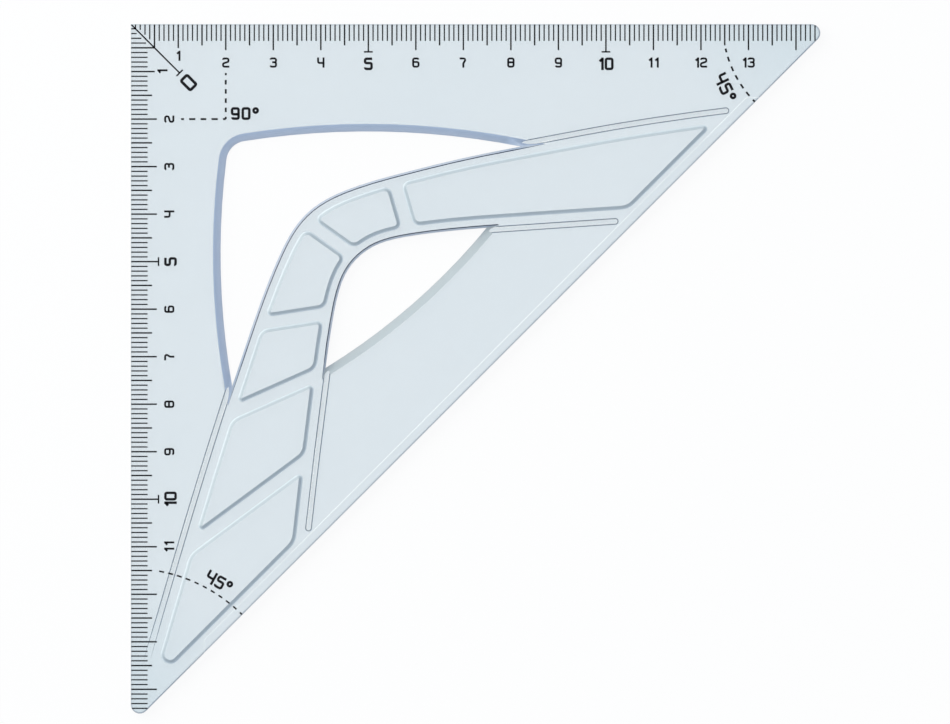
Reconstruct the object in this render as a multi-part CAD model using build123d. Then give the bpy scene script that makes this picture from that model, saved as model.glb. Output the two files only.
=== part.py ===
from build123d import *
import os
from itertools import pairwise
from math import degrees, radians, sqrt, tan

# A 45 degree set square, moulded in one piece of clear plastic and printed on its upper face.
# All sizes are in millimetres. The right-angled corner is at the origin, on the underside.
# One leg runs along +X and carries the upper scale, the other runs along -Y.

# Plate
LEG = 147.8                # each leg, from the right-angled corner to the sharp tip
THICKNESS = 2.0
TIP_RADIUS = 1.9           # rounding of the two 45 degree tips

# Grip: a boomerang-shaped bar, joined to the rest of the plate along the hypotenuse.
# Its two edges start and end on the hypotenuse, at these distances from a leg or a tip.
UPPER_ARM_OUTER = 0.1231 * LEG
UPPER_ARM_INNER = 0.2754 * LEG
LOWER_ARM_OUTER = -0.0037 * LEG
LOWER_ARM_INNER = 0.2456 * LEG
# Places that the outer and the inner edge pass through between those ends, x and y as
# shares of the leg.
OUTER_EDGE = [(0.7686, -0.1372), (0.6631, -0.1542), (0.5927, -0.1674), (0.4882, -0.1875),
              (0.3911, -0.2108), (0.3058, -0.2368), (0.2632, -0.2591), (0.2355, -0.2869),
              (0.2118, -0.3295), (0.1637, -0.4574), (0.0825, -0.7145)]
INNER_EDGE = [(0.6401, -0.2810), (0.5771, -0.2853), (0.5139, -0.2896), (0.4337, -0.2970),
              (0.3911, -0.3031), (0.3484, -0.3153), (0.3268, -0.3295), (0.3085, -0.3512),
              (0.2991, -0.3721), (0.2889, -0.4147), (0.2706, -0.5433), (0.2600, -0.6286),
              (0.2527, -0.6922)]

# Outer window, between the legs and the grip. Its two long sides are arcs.
OUTER_WINDOW_TOP_GAP = 0.1414 * LEG      # from the upper leg to the nearest point of the bevel
OUTER_WINDOW_TOP_X = 0.3369 * LEG        # where that point lies
OUTER_WINDOW_TOP_RADIUS = 1.134 * LEG
OUTER_WINDOW_LEFT_GAP = 0.1164 * LEG     # the same for the left leg
OUTER_WINDOW_LEFT_Y = -0.3268 * LEG
OUTER_WINDOW_LEFT_RADIUS = 1.0947 * LEG
OUTER_WINDOW_CORNER = 0.0298 * LEG       # rounding of the hole's corner next to the right angle

# Inner window, between the grip and the bar that carries the hypotenuse
WEB_WIDTH = 0.1279 * LEG          # from the hypotenuse to the nearest point of the bevel
WEB_SHIFT = 0.0643 * LEG          # that point lies this far towards the right tip
INNER_WINDOW_RADIUS = 0.9317 * LEG

# Finger bevel round both windows, on the plate's side of the hole, sloping at 45 degrees
BEVEL = 1.7

# In the windows the grip's walls lean back, this far from their foot to the upper face.
GRIP_DRAFT = 0.44

# Grooves that carry the grip's outline on, past the ends of the windows. Their ends are round.
GROOVE_OFFSET = 0.485             # from the grip's edge to the middle of a groove
GROOVE_WIDTH = 1.4                # at its mouth
GROOVE_WALL = 0.45                # width of each sloping wall, seen from above
GROOVE_DEPTH = 0.9
GROOVE_HYP_GAP = 2.35             # left solid between a groove's end and the hypotenuse
# The groove beside the left leg narrows between these two places, shares of the leg.
GROOVE_FADE_START = (0.0595, -0.7679)
GROOVE_FADE_END = (0.0244, -0.9093)

# Raised grip pads, with walls that slope at 45 degrees
PAD_HEIGHT = 0.65
PAD_ROOT = 0.1                    # the sloping walls run on this far into the plate
PAD_MARGIN = 2.05                 # from the grip's edges to the foot of a pad
PAD_HYP_GAP = 3.0                 # from the hypotenuse to the foot of a pad
PAD_CHANNEL = 2.7                 # between the feet of two pads
# Places on the channels, as shares of the leg, and the channels' directions in degrees
PAD_CHANNELS = [(0.3857, -0.2585, -73.8), (0.2835, -0.3051, -35.5),
                (0.2273, -0.4202, 8.8), (0.2057, -0.5264, 24.0),
                (0.1624, -0.6867, 36.5)]
PAD_CORNER = 1.6                  # each rounding starts this far from its corner
PAD_TIP_RADIUS = 0.8              # but no corner is sharper than this
PAD_TOE_RADIUS = 1.95             # at the narrow end of the last pad

# Raised edge strip along the hypotenuse
STRIP_WIDTH = 2.0
STRIP_HEIGHT = 0.2
STRIP_END = 15.4                  # the strip stops at this distance from each leg
STRIP_CORNER = 0.8

# Printed scales, in ink on the upper face
INK = 0.04                        # thickness of the ink
INK_INSET = 0.1                   # the ink stays this far inside the plate's edge
FINE_LINE = 0.27                  # width of a millimetre mark
BOLD_LINE = 0.32                  # width of every other line
MM_MARK = 3.55
HALF_CM_MARK = 4.5
CM_MARK = 5.5
FIRST_CM_MARK = 5.05
FIVE_CM_MARK = 5.85
CROSSBAR = 1.85                   # short bar across the end of each five centimetre mark
ZERO_LEADER = 14.55               # length of the line from the corner to the zero
LEADER_MARKS = (1, 5)             # the millimetre marks that reach that line
LEADER_CLEARANCE = 0.75           # the others beside it stop short of it
RIGHT_ANGLE_SQUARE = 20.0         # side of the dashed square in the corner
UPRIGHT_ROW = 9.7                 # length of its row of dashes below the upper scale
UPRIGHT_DASHES = 5
LEVEL_ROW = 9.4                   # and of the row beside the left scale
LEVEL_DASHES = 4
DASH_SHARE = 0.5                  # a dash takes up this share of its pitch
RIGHT_ARC_RADIUS = 23.2           # dashed 45 degree arc about the right tip
RIGHT_ARC_PITCH = 2.1
LEFT_ARC_RADIUS = 33.2            # dashed 45 degree arc about the left tip
LEFT_ARC_PITCH = 1.93
ARC_CLEARANCE = 0.62              # between the scale's marks and the first dash of an arc
TIP_ANGLE = 45
LAST_DASH = 0.4                   # the last dash is centred this many degrees off the edge

ROOT2 = sqrt(2)
NARROW = 35                       # corners under this angle, in degrees, are a pad's toe
REACH = 400                       # longer than the part, for cutting shapes
SKIN = 1                          # how far cutters run past the faces they cut
TOUCHING = 1e-3
EDGE_STEPS = 40                   # steps along the grip's edge when it is moved sideways


def prism(face, bottom, top):
    """Straight solid on a face, from one height to another."""
    return extrude(Pos(0, 0, bottom) * face, amount=top - bottom)


def within_hypotenuse(gap):
    """All of the plane that lies at least this far inside the hypotenuse."""
    side = LEG - gap * ROOT2
    return make_face(Polyline((-REACH, REACH), (side + REACH, REACH),
                              (-REACH, -side - REACH), (-REACH, REACH)))


def set_square_outline():
    """The plate's triangle, sharp at the right angle and rounded at both tips."""
    triangle = make_face(Polyline((0, 0), (LEG, 0), (0, -LEG), (0, 0)))
    tips = [v for v in triangle.vertices() if abs(v.X - v.Y) > LEG / 2]
    return fillet(tips, TIP_RADIUS)


def grip_edge(upper_arm, places, lower_arm):
    """One edge of the grip, from the hypotenuse round the bend and back to it."""
    start = (LEG - upper_arm, -upper_arm)
    end = (lower_arm, lower_arm - LEG)
    return Spline(start, *[(x * LEG, y * LEG) for x, y in places], end)


def alongside(edge, gap):
    """Places along an edge of the grip, moved sideways by a gap.

    A positive gap moves them towards the hypotenuse."""
    places = []
    for step in range(EDGE_STEPS + 1):
        heading = edge % (step / EDGE_STEPS)
        places.append(edge @ (step / EDGE_STEPS) + gap * Vector(-heading.Y, heading.X))
    return places


def beyond(edge, gap):
    """All of the plane from an edge of the grip, moved by a gap, to past the hypotenuse."""
    places = alongside(edge, gap)
    start = places[0]
    end = places[-1]
    out = Vector(REACH, -REACH)
    return make_face([Spline(*places), Polyline(end, end + out, start + out, start)])


def grip_side(edge, low, foot, high, crest):
    """All that lies from an edge of the grip to the hypotenuse and past it, as a solid.

    Its leaning wall is moved sideways by foot at the lower height, by crest at the upper."""
    lean = (crest - foot) / (high - low) * SKIN
    bottom = Pos(0, 0, low - SKIN) * beyond(edge, foot - lean)
    top = Pos(0, 0, high + SKIN) * beyond(edge, crest + lean)
    return loft([bottom, top])


def bevelled_hole(face):
    """Cutter for a window: straight below, opening at 45 degrees to the upper face."""
    floor = THICKNESS - BEVEL
    straight = prism(face, -SKIN, floor)
    slope = extrude(Pos(0, 0, floor) * face, amount=BEVEL + SKIN, taper=-45)
    return straight + slope


def outer_window(outer_edge):
    """The window between the legs and the grip. Its grip side is all but upright."""
    top_radius = OUTER_WINDOW_TOP_RADIUS
    left_radius = OUTER_WINDOW_LEFT_RADIUS
    top = Pos(OUTER_WINDOW_TOP_X, -OUTER_WINDOW_TOP_GAP - top_radius) * Circle(top_radius - BEVEL)
    left = Pos(OUTER_WINDOW_LEFT_GAP + left_radius, OUTER_WINDOW_LEFT_Y) * Circle(left_radius - BEVEL)
    lens = top & left
    corner = lens.vertices().sort_by(Axis.X)[0]
    lens = fillet(corner, OUTER_WINDOW_CORNER)
    return bevelled_hole(lens) - grip_side(outer_edge, 0, 0, THICKNESS, GRIP_DRAFT)


def inner_window(inner_edge):
    """The window between the grip and the hypotenuse's bar, finished in the same way."""
    reach = (INNER_WINDOW_RADIUS + WEB_WIDTH) / ROOT2
    shift = WEB_SHIFT / ROOT2
    centre = Pos(LEG / 2 + shift - reach, -LEG / 2 + shift + reach)
    disc = centre * Circle(INNER_WINDOW_RADIUS - BEVEL)
    return bevelled_hole(disc) & grip_side(inner_edge, 0, 0, THICKNESS, -GRIP_DRAFT)


def groove(edge, gap, lowest):
    """Cutter for a groove along an edge of the grip, with sloping walls and round ends."""
    margin = GROOVE_HYP_GAP + GROOVE_WIDTH / 2
    places = []
    for here, there in pairwise(alongside(edge, gap)):
        depth = (LEG - here.X + here.Y) / ROOT2 - margin
        next_depth = (LEG - there.X + there.Y) / ROOT2 - margin
        if depth > 0 and here.Y > lowest:
            places.append(here)
        if depth * next_depth < 0:
            places.append(here + (there - here) * (depth / (depth - next_depth)))
    path = Spline(*[place for place in places if place.Y > lowest])
    floor = THICKNESS - GROOVE_DEPTH
    mouth = GROOVE_WIDTH / 2
    foot = mouth - GROOVE_WALL
    half = Polyline((0, floor), (foot, floor), (mouth, THICKNESS), (mouth, THICKNESS + SKIN),
                    (0, THICKNESS + SKIN), (0, floor))
    half = make_face(half)
    section = Plane(origin=path @ 0, x_dir=(path % 0).cross(Vector(0, 0, 1)), z_dir=-(path % 0))
    cutter = sweep(section * (half + mirror(half, Plane.YZ)), path)
    for end in (path @ 0, path @ 1):
        cutter += Pos(end) * revolve(Plane.XZ * half, Axis.Z)
    return cutter


def grooves(outer_edge, inner_edge):
    """The grooves beside the grip. The outer one rises to the plate's face at its lower end."""
    inner_groove = groove(inner_edge, GROOVE_OFFSET, -LEG)
    fade_start = LEG * Vector(*GROOVE_FADE_START)
    fade_end = LEG * Vector(*GROOVE_FADE_END)
    outer_groove = groove(outer_edge, -GROOVE_OFFSET, fade_end.Y)
    profile = make_face(Polyline((fade_start.Y, 0), (fade_end.Y, GROOVE_DEPTH),
                                 (fade_end.Y - 2 * SKIN, GROOVE_DEPTH + SKIN),
                                 (fade_end.Y - 2 * SKIN, 0), (fade_start.Y, 0)))
    ramp = Plane.YZ * Pos(0, THICKNESS - GROOVE_DEPTH) * profile
    return [outer_groove - extrude(ramp, amount=LEG / 4, both=True), inner_groove]


def corner_angle(face, corner):
    """Angle inside a face at one of its corners."""
    away = []
    for edge in face.edges():
        if (edge @ 0 - corner).length < TOUCHING:
            away.append(edge % 0)
        elif (edge @ 1 - corner).length < TOUCHING:
            away.append((edge % 1) * -1)
    return away[0].get_angle(away[1])


def rounded_pad(face):
    """Outline of a pad's root: each rounding starts equally far from its corner."""
    corners = [Vector(*vertex) for vertex in face.vertices()]
    angles = [corner_angle(face, corner) for corner in corners]
    for place, angle in zip(corners, angles):
        radius = max(PAD_CORNER * tan(radians(angle / 2)), PAD_TIP_RADIUS)
        if angle < NARROW:
            radius = PAD_TOE_RADIUS
        corner = face.vertices().sort_by_distance(place)[0]
        face = face.fillet_2d(radius, [corner])
    return face


def grip_pads(outer_edge, inner_edge):
    """The raised pads: the grip, drawn in from its edges and parted by the channels."""
    margin = PAD_MARGIN - PAD_ROOT
    channel = Rectangle(LEG / 3, PAD_CHANNEL - 2 * PAD_ROOT)
    area = beyond(outer_edge, margin) - beyond(inner_edge, -margin)
    area &= within_hypotenuse(PAD_HYP_GAP - PAD_ROOT)
    for x, y, direction in PAD_CHANNELS:
        area -= Pos(x * LEG, y * LEG) * Rot(0, 0, direction) * channel
    pads = []
    for face in area.faces():
        pad = prism(rounded_pad(face), THICKNESS / 2, THICKNESS + PAD_HEIGHT)
        rim = pad.edges().group_by(Axis.Z)[-1]
        pads.append(chamfer(rim, PAD_HEIGHT + PAD_ROOT))
    return pads


def quadrant():
    """The quarter of the plane that lies to the right of the origin and below it."""
    return Rectangle(REACH, REACH, align=(Align.MIN, Align.MAX))


def edge_strip(outline):
    """The raised strip along the hypotenuse, cut off parallel to the legs."""
    band = outline - within_hypotenuse(STRIP_WIDTH)
    band &= Pos(STRIP_END, -STRIP_END) * quadrant()
    inner = band.vertices().sort_by(lambda v: v.X - v.Y)[:2]
    return prism(fillet(inner, STRIP_CORNER), THICKNESS, THICKNESS + STRIP_HEIGHT)


def build_plate():
    """The moulding: plate, windows, grooves, pads and strip in one solid."""
    outline = set_square_outline()
    outer_edge = grip_edge(UPPER_ARM_OUTER, OUTER_EDGE, LOWER_ARM_OUTER)
    inner_edge = grip_edge(UPPER_ARM_INNER, INNER_EDGE, LOWER_ARM_INNER)
    plate = prism(outline, 0, THICKNESS)
    plate += edge_strip(outline)
    for pad in grip_pads(outer_edge, inner_edge):
        plate += pad
    plate -= outer_window(outer_edge)
    plate -= inner_window(inner_edge)
    for groove_cutter in grooves(outer_edge, inner_edge):
        plate -= groove_cutter
    return plate


def mark_length(millimetre):
    """Length of the scale's mark at a whole millimetre."""
    if millimetre % 50 == 0:
        return FIVE_CM_MARK
    if millimetre == 10:
        return FIRST_CM_MARK
    if millimetre % 10 == 0:
        return CM_MARK
    if millimetre in LEADER_MARKS:
        return millimetre
    if millimetre % 5 == 0:
        return HALF_CM_MARK
    return min(MM_MARK, millimetre - LEADER_CLEARANCE)


def scale_marks(along, turn):
    """Marks of one scale, a face each, cut off just inside the plate's edge."""
    printable = offset(set_square_outline(), -INK_INSET)
    marks = []
    for millimetre in range(1, int(LEG)):
        length = mark_length(millimetre)
        if millimetre + length > LEG:
            continue
        width = BOLD_LINE if millimetre % 5 == 0 else FINE_LINE
        bar = Rectangle(width, length, align=(Align.CENTER, Align.MAX))
        if millimetre % 50 == 0:
            bar += Pos(0, -length) * Rectangle(CROSSBAR, BOLD_LINE)
        foot = Pos(*(along * millimetre)) * Rot(0, 0, turn)
        marks.append((foot * bar) & printable)
    return marks


def printed(faces):
    """Ink on the plate's upper face, as a group of separate solids."""
    return Compound(children=[prism(face, THICKNESS, THICKNESS + INK) for face in faces])


def zero_leader():
    """Line from the right-angled corner to the zero, with a bar across its end."""
    printable = offset(set_square_outline(), -INK_INSET)
    line = Rectangle(ZERO_LEADER, BOLD_LINE, align=(Align.MIN, Align.CENTER))
    line += Pos(ZERO_LEADER, 0) * Rectangle(BOLD_LINE, CROSSBAR)
    return (Rot(0, 0, -45) * line) & printable


def dash_row(length, count):
    """Upright row of dashes that ends at the origin, with half a dash at either end."""
    pitch = length / count
    dashes = [Pos(0, step * pitch) * Rectangle(BOLD_LINE, pitch * DASH_SHARE)
              for step in range(count + 1)]
    kept = Pos(0, length / 2) * Rectangle(LEG, length + BOLD_LINE)
    return [dash & kept for dash in dashes]


def right_angle_dashes():
    """Two rows of dashes that meet at a corner and mark the right angle with a square."""
    upright = dash_row(UPRIGHT_ROW, UPRIGHT_DASHES)
    level = [Rot(0, 0, 90) * dash for dash in dash_row(LEVEL_ROW, LEVEL_DASHES)]
    corner = upright[0] + level[0]
    dashes = [corner] + upright[1:] + level[1:]
    return [Pos(RIGHT_ANGLE_SQUARE, -RIGHT_ANGLE_SQUARE) * dash for dash in dashes]


def arc_dashes(centre, radius, pitch, edge_angle, turn):
    """Dashes on an arc about a tip, from the hypotenuse to just short of the leg's scale."""
    printable = offset(set_square_outline(), -INK_INSET)
    printable &= Pos(HALF_CM_MARK + ARC_CLEARANCE, -HALF_CM_MARK - ARC_CLEARANCE) * quadrant()
    dashes = []
    for step in range(int(radians(TIP_ANGLE) * radius / pitch) + 1):
        angle = edge_angle + turn * (LAST_DASH + degrees(step * pitch / radius))
        spot = Pos(*centre) * Rot(0, 0, angle) * Pos(radius, 0)
        dash = (spot * Rectangle(BOLD_LINE, pitch * DASH_SHARE)) & printable
        dashes += dash.faces() if dash else []
    return dashes


def printed_over_relief(faces, plate):
    """Ink that follows the plate's raised and sunk places."""
    blocks = Compound(children=[prism(face, THICKNESS / 2, 2 * THICKNESS) for face in faces])
    return (blocks & (Pos(0, 0, INK) * plate)) - plate


os.makedirs("parts", exist_ok=True)
plate = build_plate()
export_step(plate, "parts/plate.step")
export_step(printed(scale_marks(Vector(1, 0), 0)), "parts/upper_scale.step")
export_step(printed(scale_marks(Vector(0, -1), 90)), "parts/left_scale.step")
export_step(printed([zero_leader()]), "parts/zero_leader.step")
export_step(printed(right_angle_dashes()), "parts/right_angle_mark.step")
right_arc = arc_dashes((LEG, 0), RIGHT_ARC_RADIUS, RIGHT_ARC_PITCH, 180 + TIP_ANGLE, -1)
left_arc = arc_dashes((0, -LEG), LEFT_ARC_RADIUS, LEFT_ARC_PITCH, TIP_ANGLE, 1)
export_step(printed_over_relief(right_arc, plate), "parts/right_tip_arc.step")
export_step(printed_over_relief(left_arc, plate), "parts/left_tip_arc.step")
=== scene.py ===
from math import cos, pi, radians, sin

import bmesh
import bpy
from mathutils import Matrix, Vector


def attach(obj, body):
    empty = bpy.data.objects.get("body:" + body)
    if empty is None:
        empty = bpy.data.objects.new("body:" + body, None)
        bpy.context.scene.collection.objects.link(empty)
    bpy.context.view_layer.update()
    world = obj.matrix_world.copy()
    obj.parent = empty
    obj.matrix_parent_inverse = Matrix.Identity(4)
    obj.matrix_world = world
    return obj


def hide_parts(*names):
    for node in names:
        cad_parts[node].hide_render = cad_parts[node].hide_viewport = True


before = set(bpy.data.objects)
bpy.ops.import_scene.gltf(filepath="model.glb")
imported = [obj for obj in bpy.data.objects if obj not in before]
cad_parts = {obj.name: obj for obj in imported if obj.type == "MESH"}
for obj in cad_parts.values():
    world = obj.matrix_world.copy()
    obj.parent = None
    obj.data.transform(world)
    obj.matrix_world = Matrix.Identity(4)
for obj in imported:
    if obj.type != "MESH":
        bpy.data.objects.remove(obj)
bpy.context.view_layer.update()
millimetre = 0.001

# ---------------------------------------------------------------- how it is looked at
# The set square lies flat with its printed face up and is seen from straight above, so that
# both scales read true.
view_centre = Vector((72.45, -71.12, 600.0)) * millimetre
view_width = 199.92 * millimetre
farthest_seen = 5.0

camera_data = bpy.data.cameras.new("camera")
camera_data.type = "ORTHO"
camera_data.ortho_scale = view_width
camera_data.clip_end = farthest_seen
camera = bpy.data.objects.new("camera", camera_data)
camera.location = view_centre
bpy.context.scene.collection.objects.link(camera)
bpy.context.scene.camera = camera
bpy.context.scene.view_settings.view_transform = "Standard"

# ---------------------------------------------------------------- moulded plate
# One injection moulding of clear, faintly blue plastic with a polished skin: triangle, grip,
# pads, grooves and edge strip are all this piece. The mould leaves every edge a little soft. The
# thin dark and light lines along the edges, bevels and walls are painted shade and painted
# highlights in the colours of these parts.
plate_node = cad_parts["plate"]
upper_face = 2.0 * millimetre
strip_face = 2.2 * millimetre
leg = 147.8 * millimetre
tip_length = 4.6 * millimetre
bar_reach = 24 * millimetre
merge_distance = 0.002 * millimetre
flat_angle = radians(1.0)
same_height = 0.02 * millimetre

# How much of a face's normal points up, at least, for each kind of face
flat_rise = 0.9
slope_rise = 0.55
groove_rise = 0.33
grip_rise = 0.12

# How wide the mould's soft edges are
outline_break = 0.3 * millimetre
strip_break = 0.1 * millimetre
relief_break = 0.16 * millimetre

plastic_parts = ["face", "rim", "bevel", "bar_bevel", "pad_wall", "groove_wall", "grip_wall",
                 "grip_edge_painted_shade", "lip_painted_highlight", "pad_foot_painted_shade", "soft_edge_painted_shade"]
face_slot = {name: index for index, name in enumerate(plastic_parts)}


def to_hypotenuse(place):
    """How far inside the hypotenuse a place is."""
    return (leg - place.x + place.y) / 2 ** 0.5


def part_of(face):
    """Which part of the moulding a face is, told from how steep it is and how high."""
    rise = abs(face.normal.z)
    if rise > flat_rise:
        return "face"
    if rise > slope_rise:
        middle = face.calc_center_median()
        if middle.z > upper_face:
            return "pad_wall"
        return "bar_bevel" if to_hypotenuse(middle) < bar_reach else "bevel"
    if rise > groove_rise:
        return "groove_wall"
    return "grip_wall" if rise > grip_rise else "rim"


def edges_between(mesh, part, other, height):
    """Edges at one height where one part of the moulding meets another."""
    pair = {face_slot[part], face_slot[other]}
    return [edge for edge in mesh.edges
            if {face.material_index for face in edge.link_faces} == pair
            and all(abs(vertex.co.z - height) < same_height for vertex in edge.verts)]


def on_outline(edge):
    """Whether an edge lies on a leg, on the hypotenuse or round one of the two tips."""
    middle = (edge.verts[0].co + edge.verts[1].co) / 2
    past_tip_start = max(middle.x, -middle.y) > leg - tip_length
    return min(middle.x, -middle.y, to_hypotenuse(middle)) < same_height or past_tip_start


def soften(mesh, edges, width, segments, slot):
    """Gives edges the small chamfer or rounding that the mould leaves, as a part of its own."""
    bmesh.ops.bevel(mesh, geom=edges, offset=width, offset_type="OFFSET",
                    segments=segments, profile=0.5, affect="EDGES",
                    clamp_overlap=False, material=face_slot[slot])


mesh = bmesh.new()
mesh.from_mesh(plate_node.data)
bmesh.ops.remove_doubles(mesh, verts=mesh.verts, dist=merge_distance)
bmesh.ops.dissolve_limit(mesh, angle_limit=flat_angle, verts=[], edges=mesh.edges,
                         use_dissolve_boundaries=False)
for face in mesh.faces:
    face.material_index = face_slot[part_of(face)]

# The outline's edges are gathered last, because each softening makes new ones.
# The top edges of the bevels get a strip painted near white as a painted highlight, the pad
# walls' feet a strip painted grey as painted shade, and the grip walls' top edges a strip painted
# near black as painted shade.
for part, edge_part in (("bevel", "lip_painted_highlight"), ("pad_wall", "pad_foot_painted_shade"), ("grip_wall", "grip_edge_painted_shade")):
    soften(mesh, edges_between(mesh, part, "face", upper_face), relief_break, 1, edge_part)
# The edge strip's inner edge gets the same painted highlight strip.
strip_edges = [edge for edge in edges_between(mesh, "rim", "face", strip_face)
               if not on_outline(edge)]
soften(mesh, strip_edges, strip_break, 1, "lip_painted_highlight")
# The outline's rounded edges are painted dark grey as painted shade.
outline = [edge for height in (upper_face, strip_face)
           for edge in edges_between(mesh, "rim", "face", height) if on_outline(edge)]
soften(mesh, outline, outline_break, 2, "soft_edge_painted_shade")
bmesh.ops.triangulate(mesh, faces=mesh.faces)

plate_mesh = bpy.data.meshes.new("moulded_plate")
mesh.to_mesh(plate_mesh)
mesh.free()
plate = bpy.data.objects.new("moulded_plate", plate_mesh)
bpy.context.scene.collection.objects.link(plate)


def new_material(name):
    material = bpy.data.materials.new(name)
    material.use_nodes = True
    shader = material.node_tree.nodes["Principled BSDF"]
    return material, shader


def feed(tree, socket, value):
    """Links another node's socket to this one, or sets this one to a plain value."""
    if isinstance(value, bpy.types.NodeSocket):
        tree.links.new(value, socket)
    else:
        socket.default_value = value


def linked(tree, node, **values):
    """Feeds a node's inputs by name, with underscores for spaces."""
    for name, value in values.items():
        feed(tree, node.inputs[name.replace("_", " ")], value)
    return node


def math_node(tree, operation, *values):
    """A sum, product or other operation in a tree, on numbers or on other nodes' sockets."""
    node = tree.nodes.new("ShaderNodeMath")
    node.operation = operation
    for socket, value in zip(node.inputs, values):
        feed(tree, socket, value)
    return node.outputs["Value"]


def noise_node(tree, place, scale, detail):
    noise = tree.nodes.new("ShaderNodeTexNoise")
    return linked(tree, noise, Vector=place, Scale=scale, Detail=detail).outputs["Fac"]


def map_range(tree, interpolation="LINEAR", **values):
    node = tree.nodes.new("ShaderNodeMapRange")
    node.interpolation_type = interpolation
    return linked(tree, node, **values).outputs["Result"]


def stretched_noise(tree, place, stretch, turn, scale, detail):
    """Noise drawn out along one direction, for scratches and wiping marks."""
    mapping = tree.nodes.new("ShaderNodeMapping")
    linked(tree, mapping, Vector=place, Rotation=(0, 0, radians(turn)), Scale=stretch)
    return noise_node(tree, mapping.outputs["Vector"], scale, detail)


def handling_marks():
    """What use and the mould leave on the plastic, and painted shade.

    The first output is painted shade: a deeper tint toward the two tips, where the plate passes
    light along its length, with a random cloud of paler and deeper tint added.
    Upper Edge is painted shade: the top of a groove's wall, where the edge bends the light away,
    is painted dark.
    Scratches are the fine hairlines of a tool that slides over paper."""
    group = bpy.data.node_groups.new("handling_marks", "ShaderNodeTree")
    for label, value in (("Tip Start", 0.1), ("Tip End", 0.15), ("Edge Low", 0.0014),
                         ("Edge High", 0.0017), ("Cloud Size", 22.0),
                         ("Cloud Strength", 0.35), ("Scratch Threshold", 0.72)):
        socket = group.interface.new_socket(label, in_out="INPUT", socket_type="NodeSocketFloat")
        socket.default_value = value
    for label in ("Depth", "Upper Edge", "Scratches", "Grain"):
        group.interface.new_socket(label, in_out="OUTPUT", socket_type="NodeSocketFloat")
    source = group.nodes.new("NodeGroupInput").outputs
    ends = group.nodes.new("NodeGroupOutput")
    place = group.nodes.new("ShaderNodeTexCoord").outputs["Object"]
    split = linked(group, group.nodes.new("ShaderNodeSeparateXYZ"), Vector=place).outputs
    off_diagonal = math_node(group, "ABSOLUTE", math_node(group, "ADD", split["X"], split["Y"]))
    # Painted shade: the tint deepens toward the two tips.
    tips = map_range(group, "SMOOTHSTEP", Value=off_diagonal, From_Min=source["Tip Start"],
                     From_Max=source["Tip End"])
    # Painted shade: a groove's wall is painted dark near its top.
    painted_edge_shade = map_range(group, "SMOOTHSTEP", Value=split["Z"], From_Min=source["Edge Low"],
                           From_Max=source["Edge High"])
    cloud = noise_node(group, place, scale=source["Cloud Size"], detail=2.0)
    paler_or_deeper = math_node(group, "MULTIPLY", math_node(group, "SUBTRACT", cloud, 0.5),
                                source["Cloud Strength"])
    hairs = math_node(
        group, "MAXIMUM",
        stretched_noise(group, place, stretch=(1, 30, 1), turn=38, scale=160.0, detail=2.0),
        stretched_noise(group, place, stretch=(26, 1, 1), turn=-12, scale=190.0, detail=2.0))
    scratches = map_range(group, Value=hairs, From_Min=source["Scratch Threshold"], From_Max=0.8)
    # The first output adds the painted tip shade and the random cloud of tint.
    linked(group, ends, Depth=math_node(group, "ADD", tips, paler_or_deeper),
           Upper_Edge=painted_edge_shade, Scratches=scratches,
           Grain=noise_node(group, place, scale=1400.0, detail=2.0))
    return group


marks_of_use = handling_marks()

# Colour in the middle and at the tips, share of light let through and roughness of each part.
# A groove's wall has its two colours below and at its upper edge instead: near white below and
# painted dark at the edge. The deeper colour at the tips is painted shade. The rim, bevels,
# walls, pad feet and soft edges are painted darker than the face as painted shade, for the dark
# lines along the edges; the grip's edge is painted near black as painted shade, and the lip
# near white as a painted highlight.
plastic_looks_with_painted_shade = {
    "face": ((0.835, 0.898, 0.932), (0.765, 0.86, 0.905), 0.85, 0.05),
    "rim": ((0.56, 0.6, 0.66), (0.52, 0.57, 0.63), 0.5, 0.15),
    "bevel": ((0.40, 0.50, 0.68), (0.36, 0.46, 0.65), 0.4, 0.3),
    "bar_bevel": ((0.42, 0.48, 0.51), (0.40, 0.46, 0.49), 0.4, 0.3),
    "pad_wall": ((0.46, 0.53, 0.57), (0.42, 0.49, 0.54), 0.26, 0.35),
    # Near white below, and a near-black painted shade line at the upper edge.
    "groove_wall": ((0.96, 0.99, 1.0), (0.06, 0.10, 0.16), 0.8, 0.15),
    "grip_wall": ((0.34, 0.42, 0.54), (0.31, 0.39, 0.51), 0.4, 0.3),
    # Painted shade: the grip's edge is near black, for the dark line along it.
    "grip_edge_painted_shade": ((0.0, 0.01, 0.05), (0.0, 0.01, 0.05), 0.05, 0.3),
    # Painted highlight: the lip is near white, for the bright line along the bevels and the
    # strip.
    "lip_painted_highlight": ((0.95, 0.99, 1.0), (0.92, 0.97, 1.0), 0.4, 0.15),
    "pad_foot_painted_shade": ((0.62, 0.69, 0.73), (0.58, 0.66, 0.70), 0.05, 0.3),
    "soft_edge_painted_shade": ((0.49, 0.53, 0.56), (0.46, 0.50, 0.54), 0.05, 0.2),
}
scratch_roughness = 0.12
grain_depth = 0.02 * millimetre
plastic_ior = 1.49


def mixed_colour(tree, factor, first, second):
    node = tree.nodes.new("ShaderNodeMix")
    node.data_type = "RGBA"
    linked(tree, node, Factor=factor, A=(*first, 1), B=(*second, 1))
    return node.outputs["Result"]


def bumps(tree, height, strength, distance):
    node = tree.nodes.new("ShaderNodeBump")
    return linked(tree, node, Height=height, Strength=strength,
                  Distance=distance).outputs["Normal"]


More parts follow.
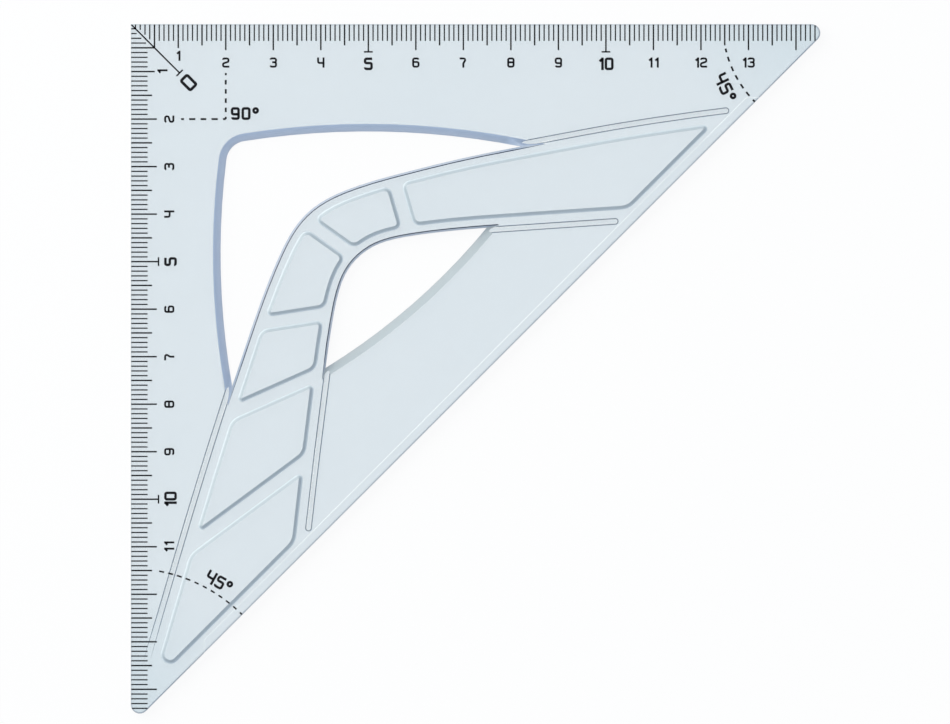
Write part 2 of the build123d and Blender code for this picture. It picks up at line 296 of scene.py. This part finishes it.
for part in plastic_parts:
    colour, second_colour, clear, rough = plastic_looks_with_painted_shade[part]
    material, shader = new_material("plastic_" + part)
    tree = material.node_tree
    use = tree.nodes.new("ShaderNodeGroup")
    use.node_tree = marks_of_use
    # The colour mix paints shade: dark at a groove wall's upper edge, and deeper toward the tips
    # on every other part.
    painted_shade_by = use.outputs["Upper Edge" if part == "groove_wall" else "Depth"]
    linked(tree, shader, Transmission_Weight=clear, IOR=plastic_ior,
           Base_Color=mixed_colour(tree, painted_shade_by, colour, second_colour),
           Roughness=map_range(tree, Value=use.outputs["Scratches"], To_Min=rough,
                               To_Max=rough + scratch_roughness),
           Normal=bumps(tree, use.outputs["Grain"], strength=0.15, distance=grain_depth))
    plate_mesh.materials.append(material)

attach(plate, "root")
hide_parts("plate")

# ---------------------------------------------------------------- scale marks
# Both scales are screen-printed in black on the upper face, a mark for each millimetre. The
# fifth and tenth ones are longer and bolder, and every fifth centimetre has a short crossbar.
ink_thickness = 0.04 * millimetre
mark_count = 144

ink, shader = new_material("black_ink")
tree = ink.node_tree
coverage = noise_node(tree, tree.nodes.new("ShaderNodeTexCoord").outputs["Object"],
                      scale=900.0, detail=3.0)
linked(tree, shader, Specular_IOR_Level=0.15,
       Base_Color=mixed_colour(tree, coverage, (0.002, 0.002, 0.003), (0.012, 0.012, 0.015)),
       Roughness=map_range(tree, Value=coverage, To_Min=0.55, To_Max=0.8),
       Normal=bumps(tree, coverage, strength=0.3, distance=0.01 * millimetre))


def tree_with_inputs(name, inputs):
    """An empty node tree for shapes, with named inputs. Returns it with both its ends."""
    tree = bpy.data.node_groups.new(name, "GeometryNodeTree")
    tree.interface.new_socket("Geometry", in_out="INPUT", socket_type="NodeSocketGeometry")
    for label, kind, value in inputs:
        socket = tree.interface.new_socket(label, in_out="INPUT",
                                           socket_type="NodeSocket" + kind)
        if value is not None:
            socket.default_value = value
    tree.interface.new_socket("Geometry", in_out="OUTPUT", socket_type="NodeSocketGeometry")
    return tree, tree.nodes.new("NodeGroupInput"), tree.nodes.new("NodeGroupOutput")


def vector_node(tree, x, y, z):
    node = tree.nodes.new("ShaderNodeCombineXYZ")
    return linked(tree, node, X=x, Y=y, Z=z).outputs["Vector"]


def either(tree, condition, when_true, when_false):
    """One of two sizes, by a condition that is 1 or 0."""
    node = tree.nodes.new("GeometryNodeSwitch")
    node.input_type = "FLOAT"
    linked(tree, node, **{"Switch": condition, "True": when_true, "False": when_false})
    return node.outputs["Output"]


def finish_tree(tree, source, geometry, ends):
    """Makes the result plain mesh and gives it its material."""
    realize = linked(tree, tree.nodes.new("GeometryNodeRealizeInstances"), Geometry=geometry)
    dress = linked(tree, tree.nodes.new("GeometryNodeSetMaterial"),
                   Geometry=realize.outputs["Geometry"], Material=source.outputs["Material"])
    linked(tree, ends, Geometry=dress.outputs["Geometry"])


def grown(name, tree, values, start=None):
    """Runs a tree once on a start mesh and keeps what it makes as a plain piece."""
    seed = bpy.data.objects.new(name + "_seed", start or bpy.data.meshes.new(name + "_seed"))
    bpy.context.scene.collection.objects.link(seed)
    modifier = seed.modifiers.new(name, "NODES")
    modifier.node_group = tree
    for item in tree.interface.items_tree:
        if item.in_out == "INPUT" and item.name in values:
            modifier[item.identifier] = values[item.name]
    seed.update_tag()
    result = bpy.data.meshes.new_from_object(
        seed.evaluated_get(bpy.context.evaluated_depsgraph_get()))
    result.name = name
    seed.modifiers.remove(modifier)
    bpy.data.objects.remove(seed)
    piece = bpy.data.objects.new(name, result)
    bpy.context.scene.collection.objects.link(piece)
    return piece


marks, source, ends = tree_with_inputs("scale_marks", [
    ("Count", "Int", mark_count),
    ("Pitch", "Float", 1.0 * millimetre),
    ("Edge Gap", "Float", 0.1 * millimetre),
    ("Fine Line", "Float", 0.27 * millimetre),
    ("Bold Line", "Float", 0.32 * millimetre),
    ("Millimetre Length", "Float", 3.55 * millimetre),
    ("Half Centimetre Length", "Float", 4.5 * millimetre),
    ("Centimetre Length", "Float", 5.5 * millimetre),
    ("First Centimetre Length", "Float", 5.05 * millimetre),
    ("Five Centimetre Length", "Float", 5.85 * millimetre),
    ("Crossbar Length", "Float", 1.85 * millimetre),
    ("Corner Gap", "Float", 0.75 * millimetre),
    ("Tip Start", "Float", 143.21 * millimetre),
    ("Tip Radius", "Float", 1.9 * millimetre),
    ("Side", "Float", -1.0),
    ("Turn", "Float", 0.0),
    ("Face Height", "Float", upper_face),
    ("Ink Thickness", "Float", ink_thickness),
    ("Material", "Material", None),
])
given = source.outputs
index = marks.nodes.new("GeometryNodeInputIndex").outputs["Index"]
number = math_node(marks, "ADD", index, 1)
along = math_node(marks, "MULTIPLY", number, given["Pitch"])


def every(step):
    """1 at each mark whose number this step divides, and else 0."""
    rest = math_node(marks, "MODULO", number, step)
    return math_node(marks, "COMPARE", rest, 0, 0.5)


short_mark = math_node(marks, "SUBTRACT", along, given["Corner Gap"])
length = math_node(marks, "MINIMUM", given["Millimetre Length"], short_mark)
length = either(marks, every(5), given["Half Centimetre Length"], length)
length = either(marks, every(10), given["Centimetre Length"], length)
first_centimetre = math_node(marks, "COMPARE", number, 10, 0.5)
length = either(marks, first_centimetre, given["First Centimetre Length"], length)
length = either(marks, every(50), given["Five Centimetre Length"], length)
touches_leader = math_node(marks, "MAXIMUM", math_node(marks, "COMPARE", number, 1, 0.5),
                           math_node(marks, "COMPARE", number, 5, 0.5))
length = either(marks, touches_leader, along, length)
width = either(marks, every(5), given["Bold Line"], given["Fine Line"])

# At the rounded tip the edge falls away, and the last mark starts further in.
past_tip = math_node(marks, "MAXIMUM",
                     math_node(marks, "SUBTRACT", along, given["Tip Start"]), 0)
fall = math_node(marks, "DIVIDE", math_node(marks, "MULTIPLY", past_tip, past_tip),
                 math_node(marks, "MULTIPLY", given["Tip Radius"], 2))
start = math_node(marks, "ADD", given["Edge Gap"], fall)

middle = math_node(marks, "MULTIPLY", math_node(marks, "ADD", start, length), 0.5)
ink_level = math_node(marks, "MULTIPLY_ADD", given["Ink Thickness"], 0.5, given["Face Height"])
row = linked(marks, marks.nodes.new("GeometryNodeMeshLine"), Count=given["Count"])
block = linked(marks, marks.nodes.new("GeometryNodeMeshCube"), Size=(1, 1, 1))
join = marks.nodes.new("GeometryNodeJoinGeometry")


def printed_bars(distance, size, chosen=True):
    """One bar at each chosen mark, this far from the plate's edge."""
    across = math_node(marks, "MULTIPLY", distance, given["Side"])
    put = linked(marks, marks.nodes.new("GeometryNodeSetPosition"),
                 Geometry=row.outputs["Mesh"],
                 Position=vector_node(marks, along, across, ink_level))
    bars = linked(marks, marks.nodes.new("GeometryNodeInstanceOnPoints"),
                  Points=put.outputs["Geometry"], Instance=block.outputs["Mesh"], Scale=size,
                  Selection=chosen)
    marks.links.new(bars.outputs["Instances"], join.inputs["Geometry"])


printed_bars(middle, vector_node(marks, width, math_node(marks, "SUBTRACT", length, start),
                                 given["Ink Thickness"]))
printed_bars(length, vector_node(marks, given["Crossbar Length"], given["Bold Line"],
                                 given["Ink Thickness"]), every(50))
turned = linked(marks, marks.nodes.new("GeometryNodeTransform"),
                Geometry=join.outputs["Geometry"],
                Rotation=vector_node(marks, 0, 0, given["Turn"]))
finish_tree(marks, source, turned.outputs["Geometry"], ends)

upper_marks = grown("upper_scale_marks", marks, {"Material": ink})
left_marks = grown("left_scale_marks", marks,
                   {"Material": ink, "Side": 1.0, "Turn": -pi / 2})
for piece, node in ((upper_marks, "upper_scale"), (left_marks, "left_scale")):
    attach(piece, "root")
    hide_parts(node)

# ---------------------------------------------------------------- dashed lines
# The dashed right angle and the dashed arcs at both tips are printed in the same pass and with
# the same ink. The ink lies on whatever is below it, also on the slopes of the raised pads.
dashes, source, ends = tree_with_inputs("dashed_line", [
    ("Line Width", "Float", 0.41 * millimetre),
    ("Pitch", "Float", 2.0 * millimetre),
    ("Dash Share", "Float", 0.52),
    ("First Dash", "Float", 0.0),
    ("Step", "Float", 0.12 * millimetre),
    ("Ink Thickness", "Float", ink_thickness),
    ("Plate", "Object", None),
    ("Material", "Material", None),
])
given = source.outputs


def pen(tree, curve, line_width, thickness):
    """A flat band of ink along a curve, with closed ends."""
    level = linked(tree, tree.nodes.new("GeometryNodeSetCurveNormal"), Curve=curve)
    level.mode = "Z_UP"
    nib = linked(tree, tree.nodes.new("GeometryNodeCurvePrimitiveQuadrilateral"),
                 Width=line_width, Height=thickness)
    band = linked(tree, tree.nodes.new("GeometryNodeCurveToMesh"), Fill_Caps=True,
                  Curve=level.outputs["Curve"], Profile_Curve=nib.outputs["Curve"])
    return band.outputs["Mesh"]


# Each place on the band keeps how far along the line it is, and what falls in a gap goes.
path = linked(dashes, dashes.nodes.new("GeometryNodeMeshToCurve"), Mesh=given["Geometry"])
fine_path = dashes.nodes.new("GeometryNodeResampleCurve")
fine_path.mode = "LENGTH"
linked(dashes, fine_path, Curve=path.outputs["Curve"], Length=given["Step"])
length_so_far = dashes.nodes.new("GeometryNodeSplineParameter").outputs["Length"]
run = linked(dashes, dashes.nodes.new("GeometryNodeStoreNamedAttribute"), Name="run",
             Geometry=fine_path.outputs["Curve"], Value=length_so_far)
band = pen(dashes, run.outputs["Geometry"], given["Line Width"], given["Ink Thickness"])
run_there = linked(dashes, dashes.nodes.new("GeometryNodeInputNamedAttribute"), Name="run")
pitches = math_node(dashes, "DIVIDE",
                    math_node(dashes, "SUBTRACT", run_there.outputs["Attribute"],
                              given["First Dash"]), given["Pitch"])
from_middle = math_node(dashes, "ABSOLUTE",
                        math_node(dashes, "SUBTRACT", pitches,
                                  math_node(dashes, "ROUND", pitches)))
half_dash = math_node(dashes, "MULTIPLY", given["Dash Share"], 0.5)
gaps = dashes.nodes.new("GeometryNodeDeleteGeometry")
gaps.domain = "FACE"
linked(dashes, gaps, Geometry=band,
       Selection=math_node(dashes, "GREATER_THAN", from_middle, half_dash))

# The dashes drop straight down onto the plate.
ray_height = 0.1
ray_length = 1.0
position = dashes.nodes.new("GeometryNodeInputPosition").outputs["Position"]
place = linked(dashes, dashes.nodes.new("ShaderNodeSeparateXYZ"), Vector=position).outputs
under = linked(dashes, dashes.nodes.new("GeometryNodeObjectInfo"), Object=given["Plate"])
below = linked(dashes, dashes.nodes.new("GeometryNodeRaycast"),
               Target_Geometry=under.outputs["Geometry"], Ray_Direction=(0, 0, -1),
               Ray_Length=ray_length,
               Source_Position=vector_node(dashes, place["X"], place["Y"], ray_height))
hit = linked(dashes, dashes.nodes.new("ShaderNodeSeparateXYZ"),
             Vector=below.outputs["Hit Position"])
raised = math_node(dashes, "ADD", hit.outputs["Z"], place["Z"])
lie = linked(dashes, dashes.nodes.new("GeometryNodeSetPosition"),
             Geometry=gaps.outputs["Geometry"],
             Position=vector_node(dashes, place["X"], place["Y"], raised))
finish_tree(dashes, source, lie.outputs["Geometry"], ends)


def guide_line(name, places):
    """A line through places given in millimetres, for a tree to follow."""
    guide = bpy.data.meshes.new(name + "_guide")
    guide.from_pydata([(x * millimetre, y * millimetre, ink_thickness / 2) for x, y in places],
                      [(step, step + 1) for step in range(len(places) - 1)], [])
    return guide


def printed_dashes(name, node, rows, width=0.41):
    """Rows of dashes as one piece. Each row is its places, its pitch and its first dash."""
    joined = bmesh.new()
    for places, pitch, first in rows:
        row = grown(name, dashes, {"Material": ink, "Plate": plate, "Pitch": pitch * millimetre,
                                   "First Dash": first * millimetre,
                                   "Line Width": width * millimetre}, guide_line(name, places))
        joined.from_mesh(row.data)
        bpy.data.objects.remove(row)
    result = bpy.data.meshes.new(name)
    joined.to_mesh(result)
    joined.free()
    result.materials.append(ink)
    piece = bpy.data.objects.new(name, result)
    bpy.context.scene.collection.objects.link(piece)
    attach(piece, "root")
    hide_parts(node)


arc_steps = 48


def tip_arc(centre, radius, first_angle, last_angle):
    """Places on an arc about a tip, from the hypotenuse toward the scale."""
    angles = [radians(first_angle + (last_angle - first_angle) * step / arc_steps)
              for step in range(arc_steps + 1)]
    return [(centre[0] + radius * cos(angle), centre[1] + radius * sin(angle))
            for angle in angles]


square = 20.0
upright_row = 9.7
level_row = 9.4
printed_dashes("right_angle_dashes", "right_angle_mark", [
    ([(square, -square), (square, -square + upright_row)], upright_row / 5, 0),
    ([(square, -square), (square - level_row, -square)], level_row / 4, 0)])
tip = 147.8
printed_dashes("right_tip_dashes", "right_tip_arc",
               [(tip_arc((tip, 0), 23.2, 224.85, 192.8), 2.1, 0.1)])
printed_dashes("left_tip_dashes", "left_tip_arc",
               [(tip_arc((0, -tip), 33.2, 45.2, 81.1), 1.93, 0.12)], width=0.35)

# ---------------------------------------------------------------- line to the zero
# A fine line runs from the right-angled corner to the zero and ends in a short bar. It is
# printed in the same pass as the scales.
zero_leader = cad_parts["zero_leader"]
zero_leader.data.materials.clear()
zero_leader.data.materials.append(ink)

# ---------------------------------------------------------------- numbers
# The centimetre numbers, the zero and the three angles are printed too, in a square technical
# lettering of even strokes with rounded corners, as a lettering stencil draws it.

# Strokes of each sign, in shares of its width and height from the lower left. A closed stroke
# ends where it starts, and an open one runs half a line past the border.
sign_strokes = {
    "0": [[(0, 0), (1, 0), (1, 1), (0, 1), (0, 0)]],
    "1": [[(0, 0.74), (0.46, 1)], [(0.46, 1.12), (0.46, -0.12)]],
    "2": [[(0, 0.84), (0, 1), (1, 1), (1, 0.6), (0, 0.4), (0, 0), (1.15, 0)]],
    "3": [[(0, 0.85), (0, 1), (1, 1), (1, 0.54), (0.3, 0.54)],
          [(0.7, 0.54), (1, 0.5), (1, 0), (0, 0), (0, 0.15)]],
    "4": [[(0, 1.12), (0, 0.45), (1, 0.45)], [(1, 1.12), (1, -0.12)]],
    "5": [[(1.1, 1), (0, 1), (0, 0.57), (1, 0.57), (1, 0), (0, 0), (0, 0.15)]],
    "6": [[(0.95, 0.86), (0.95, 1), (0, 1), (0, 0), (1, 0), (1, 0.57), (0, 0.57)]],
    "7": [[(-0.18, 1), (1.04, 1), (0.5, 0.4), (0.5, -0.12)]],
    "8": [[(0, 0), (1, 0), (1, 1), (0, 1), (0, 0)], [(0, 0.53), (1, 0.53)]],
    "9": [[(0.05, 0.14), (0.05, 0), (1, 0), (1, 1), (0, 1), (0, 0.43), (1, 0.43)]],
}
sign_widths = {"1": 0.46}
gap_before_one = 0.2
degree_radius = 0.44
degree_steps = 16
same_place = 1e-6

lettering, source, ends = tree_with_inputs("lettering", [
    ("Line Width", "Float", 0.36 * millimetre),
    ("Corner Radius", "Float", 0.32 * millimetre),
    ("Ink Thickness", "Float", ink_thickness),
    ("Material", "Material", None),
])
given = source.outputs
strokes = linked(lettering, lettering.nodes.new("GeometryNodeMeshToCurve"),
                 Mesh=given["Geometry"])
rounded = lettering.nodes.new("GeometryNodeFilletCurve")
rounded.mode = "POLY"
linked(lettering, rounded, Curve=strokes.outputs["Curve"], Radius=given["Corner Radius"],
       Count=4, Limit_Radius=True)
finish_tree(lettering, source, pen(lettering, rounded.outputs["Curve"], given["Line Width"],
                                   given["Ink Thickness"]), ends)


class Lettering:
    """Strokes of one size of lettering, gathered in millimetres on one level of the plate."""

    def __init__(self, width, height, line, gap=0.17, level=2.0):
        self.width, self.height, self.line, self.gap, self.level = width, height, line, gap, level
        self.lines = []

    def sign(self, letter):
        """Strokes of one sign with its left edge at 0 and its top at 0, and its width."""
        inner_width = self.width - self.line
        inner_height = self.height - self.line
        if letter == "°":
            middle = degree_radius + self.line / 2
            turns = [2 * pi * step / degree_steps for step in range(degree_steps)]
            ring = [(middle + degree_radius * cos(turn), -middle + degree_radius * sin(turn))
                    for turn in turns]
            return [ring + ring[:1]], 2 * middle
        drawn = [[(self.line / 2 + x * inner_width,
                   self.line / 2 + y * inner_height - self.height)
                  for x, y in stroke] for stroke in sign_strokes[letter]]
        return drawn, sign_widths.get(letter, 1) * inner_width + self.line

    def write(self, text, place, turn=0):
        """Writes a text with the middle of its top edge at a place, turned by some degrees."""
        row = []
        reach = 0
        for position, letter in enumerate(text):
            drawn, width = self.sign(letter)
            if position:
                reach += self.gap + (gap_before_one if letter == "1" else 0)
            row += [[(x + reach, y) for x, y in stroke] for stroke in drawn]
            reach += width
        turn = Matrix.Rotation(radians(turn), 2)
        for stroke in row:
            self.lines.append([turn @ Vector((x - reach / 2, y)) + Vector(place)
                               for x, y in stroke])

    def printed(self, name):
        """The gathered strokes as a printed piece."""
        points = []
        edges = []
        for stroke in self.lines:
            closed = (stroke[0] - stroke[-1]).length < same_place
            kept = stroke[:-1] if closed else stroke
            first = len(points)
            points += [(x * millimetre, y * millimetre,
                        self.level * millimetre + ink_thickness / 2) for x, y in kept]
            edges += [(first + step, first + step + 1) for step in range(len(kept) - 1)]
            if closed:
                edges.append((first + len(kept) - 1, first))
        guide = bpy.data.meshes.new(name + "_strokes")
        guide.from_pydata(points, edges, [])
        piece = grown(name, lettering, {"Line Width": self.line * millimetre, "Material": ink},
                      guide)
        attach(piece, "root")


last_upper_number = 13
last_left_number = 11
first_drop = 5.6
drop = 7.03
small = Lettering(width=1.56, height=2.15, line=0.42)
large = Lettering(width=1.9, height=2.68, line=0.54)
for count in range(1, last_upper_number + 1):
    size = small if count % 5 else large
    from_edge = first_drop if count == 1 else drop
    size.write(str(count), (10 * count, -from_edge))
    if count <= last_left_number:
        size.write(str(count), (from_edge, -10 * count), 90)
small.printed("small_numbers")
large.printed("large_numbers")


def top_of(middle, turn, rise):
    """Where the top edge of a turned text is, from its middle."""
    return Vector(middle) + Matrix.Rotation(radians(turn), 2) @ Vector((0, rise))


zero = Lettering(width=2.42, height=3.42, line=0.62)
zero.write("0", top_of((12.12, -12.26), 45, 1.625), 45)
zero.printed("corner_zero")

right_angle = Lettering(width=1.92, height=2.7, line=0.55, gap=0.34)
right_angle.write("90°", (24.02, -17.48))
right_angle.printed("right_angle_number")

right_turn = -64.5
right_tip = Lettering(width=2.0, height=2.82, line=0.55, gap=0.3)
right_tip.write("45°", top_of((125.24, -13.3), right_turn, 1.3), right_turn)
right_tip.printed("right_tip_angle")

# The left tip's angle is on a raised pad.
left_turn = -29.2
left_tip = Lettering(width=1.97, height=2.77, line=0.53, gap=0.26, level=2.65)
left_tip.write("45°", top_of((18.63, -117.29), left_turn, 1.28), left_turn)
left_tip.printed("left_tip_angle")

# ---------------------------------------------------------------- floor
# A smooth white table top, a hair under the set square and wide enough to fill every view. It
# is lit evenly: what is seen of it, also through the plastic or mirrored, is mostly a glow.
floor_reach = 3.0
floor_level = -0.05 * millimetre
white_share = 0.92
corners = [(side * floor_reach, end * floor_reach, floor_level)
           for side, end in ((-1, -1), (1, -1), (1, 1), (-1, 1))]
floor_mesh = bpy.data.meshes.new("floor")
floor_mesh.from_pydata(corners, [], [(0, 1, 2, 3)])
floor = bpy.data.objects.new("floor", floor_mesh)
bpy.context.scene.collection.objects.link(floor)
paper, shader = new_material("white_floor")
tree = paper.node_tree
fibres = noise_node(tree, tree.nodes.new("ShaderNodeTexCoord").outputs["Object"],
                    scale=700.0, detail=3.0)
linked(tree, shader, Base_Color=(0.9, 0.9, 0.9, 1),
       Roughness=map_range(tree, Value=fibres, To_Min=0.82, To_Max=0.98))
rays = tree.nodes.new("ShaderNodeLightPath").outputs
seen = math_node(tree, "MAXIMUM", math_node(tree, "MAXIMUM", rays["Is Camera Ray"],
                                            rays["Is Transmission Ray"]), rays["Is Glossy Ray"])
glow = linked(tree, tree.nodes.new("ShaderNodeEmission"), Strength=1.0)
mix = linked(tree, tree.nodes.new("ShaderNodeMixShader"),
             Fac=math_node(tree, "MULTIPLY", seen, white_share))
tree.links.new(shader.outputs["BSDF"], mix.inputs[1])
tree.links.new(glow.outputs["Emission"], mix.inputs[2])
linked(tree, tree.nodes["Material Output"], Surface=mix.outputs["Shader"])
floor_mesh.materials.append(paper)

# ---------------------------------------------------------------- light
# One large, slightly warm soft box from the upper left, in an even and slightly cool studio.
world = bpy.data.worlds.new("studio")
bpy.context.scene.world = world
world.use_nodes = True
linked(world.node_tree, world.node_tree.nodes["Background"], Color=(0.86, 1.0, 1.18, 1),
       Strength=0.55)

softbox_data = bpy.data.lights.new("key", "AREA")
softbox_data.size = 1.5
softbox_data.color = (1.0, 0.96, 0.86)
softbox_data.energy = 24.5
softbox = bpy.data.objects.new("key", softbox_data)
softbox.location = (-0.9, 0.69, 0.75)
aim = Vector((0.07, -0.07, 0)) - softbox.location
softbox.rotation_euler = aim.to_track_quat("-Z", "Y").to_euler()
bpy.context.scene.collection.objects.link(softbox)
